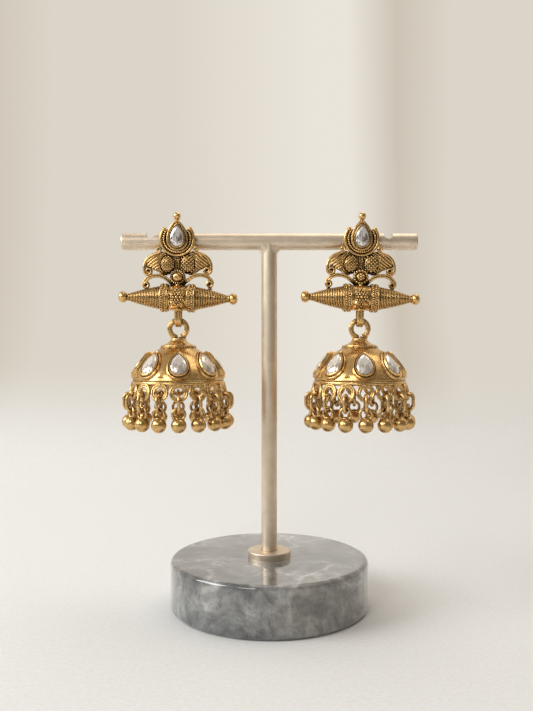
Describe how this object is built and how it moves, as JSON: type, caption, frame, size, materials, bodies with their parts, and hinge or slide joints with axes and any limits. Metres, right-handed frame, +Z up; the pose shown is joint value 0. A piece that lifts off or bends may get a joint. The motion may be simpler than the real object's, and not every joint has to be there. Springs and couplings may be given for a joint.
{
  "type": "pair of jhumka earrings on t-bar stand",
  "caption": "Antique gold jhumka earrings with domed bells, pear stones and bead fringes, hung by their posts on a T-bar stand with a round marble base.",
  "frame": {"origin": "centre of the underside of the marble base", "axes": "+Z up, +X along the bar to the viewer's right, -Y towards the front of the earrings"},
  "size_m": [0.0887, 0.059, 0.1171],
  "materials": {
    "antique_gold": "antique gold plate",
    "crystal": "polished, foil-backed",
    "satin_champagne": "satin",
    "grey_marble": "polished"
  },
  "bodies": {
    "stand_and_tops": {"marble_base": "grey_marble", "base_collar": "satin_champagne", "t_bar": "satin_champagne", "left_top": "antique_gold", "left_top_stone": "crystal", "left_ear_post": "antique_gold", "right_top": "antique_gold", "right_top_stone": "crystal", "right_ear_post": "antique_gold"},
    "left_bell": {"left_bell": "antique_gold", "left_bell_stone_1": "crystal", "left_bell_stone_2": "crystal", "left_bell_stone_3": "crystal", "left_bell_stone_4": "crystal", "left_bell_stone_5": "crystal", "left_bell_stone_6": "crystal", "left_bell_stone_7": "crystal", "left_bell_stone_8": "crystal", "left_fringe_links": "antique_gold", "left_fringe_beads": "antique_gold"},
    "right_bell": {"right_bell": "antique_gold", "right_bell_stone_1": "crystal", "right_bell_stone_2": "crystal", "right_bell_stone_3": "crystal", "right_bell_stone_4": "crystal", "right_bell_stone_5": "crystal", "right_bell_stone_6": "crystal", "right_bell_stone_7": "crystal", "right_bell_stone_8": "crystal", "right_fringe_links": "antique_gold", "right_fringe_beads": "antique_gold"}
  },
  "joints": [
    {"name": "left_bell_swing", "type": "hinge", "parent": "stand_and_tops", "child": "left_bell", "pos_m": [-0.02676, -0.0042, 0.08525], "axis": [1, 0, 0], "range_deg": [-60, 60]},
    {"name": "right_bell_swing", "type": "hinge", "parent": "stand_and_tops", "child": "right_bell", "pos_m": [0.02658, -0.0042, 0.08525], "axis": [1, 0, 0], "range_deg": [-60, 60]}
  ]
}
